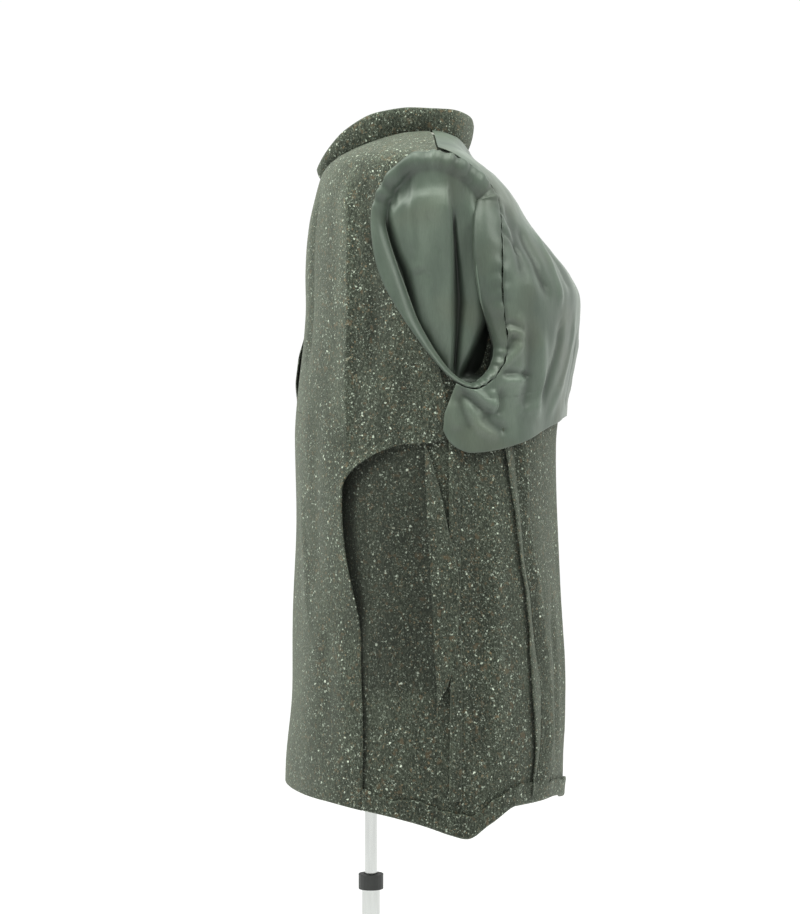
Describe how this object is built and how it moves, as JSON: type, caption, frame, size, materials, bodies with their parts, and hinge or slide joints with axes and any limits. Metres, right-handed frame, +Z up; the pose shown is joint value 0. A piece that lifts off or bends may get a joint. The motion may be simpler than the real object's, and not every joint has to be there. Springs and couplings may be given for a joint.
{
  "type": "blazer on a dress form",
  "caption": "Women's tweed blazer worn inside out and back to front on a limbless dress form, with half lining, facings and sleeves inside, on a round-based stand.",
  "frame": {"origin": "middle of the underside of the base, on the pole's axis", "axes": "+Z up along the pole, -Y towards the garment's front opening, +Y towards its back, which lies over the form's bust, +X to the garment's right-hand side as cut"},
  "size_m": [0.4376, 0.3873, 1.4373],
  "materials": {
    "tweed": "dark olive-grey woollen tweed with cream and brown flecks, dull",
    "satin": "slate grey-green satin lining, soft sheen",
    "form_cover": "plain pale jersey cover, dull",
    "chrome": "bright tube",
    "dark_plastic": "dark moulded clamp",
    "base_paint": "satin grey paint"
  },
  "bodies": {
    "stand": {"base": "base_paint", "stand_tube": "chrome", "clamp_collar": "dark_plastic"},
    "form": {"back_allowance_in_left": "tweed", "back_allowance_in_right": "tweed", "back_allowance_out_left": "tweed", "back_allowance_out_right": "tweed", "back_lining": "satin", "centre_back": "tweed", "collar": "tweed", "dart_left": "tweed", "dart_right": "tweed", "dress_form": "form_cover", "facing_left": "tweed", "facing_right": "tweed", "front_left": "tweed", "front_right": "tweed", "hem_turnup": "tweed", "pole": "chrome", "side_allowance_left": "tweed", "side_allowance_right": "tweed", "side_back_left": "tweed", "side_back_right": "tweed", "sleeve_left": "tweed", "sleeve_lining_left": "satin", "sleeve_lining_right": "satin", "sleeve_right": "tweed"}
  },
  "joints": [
    {"name": "height_slide", "type": "slide", "parent": "stand", "child": "form", "axis": [0, 0, 1], "range_m": [-0.05, 0.15]}
  ]
}
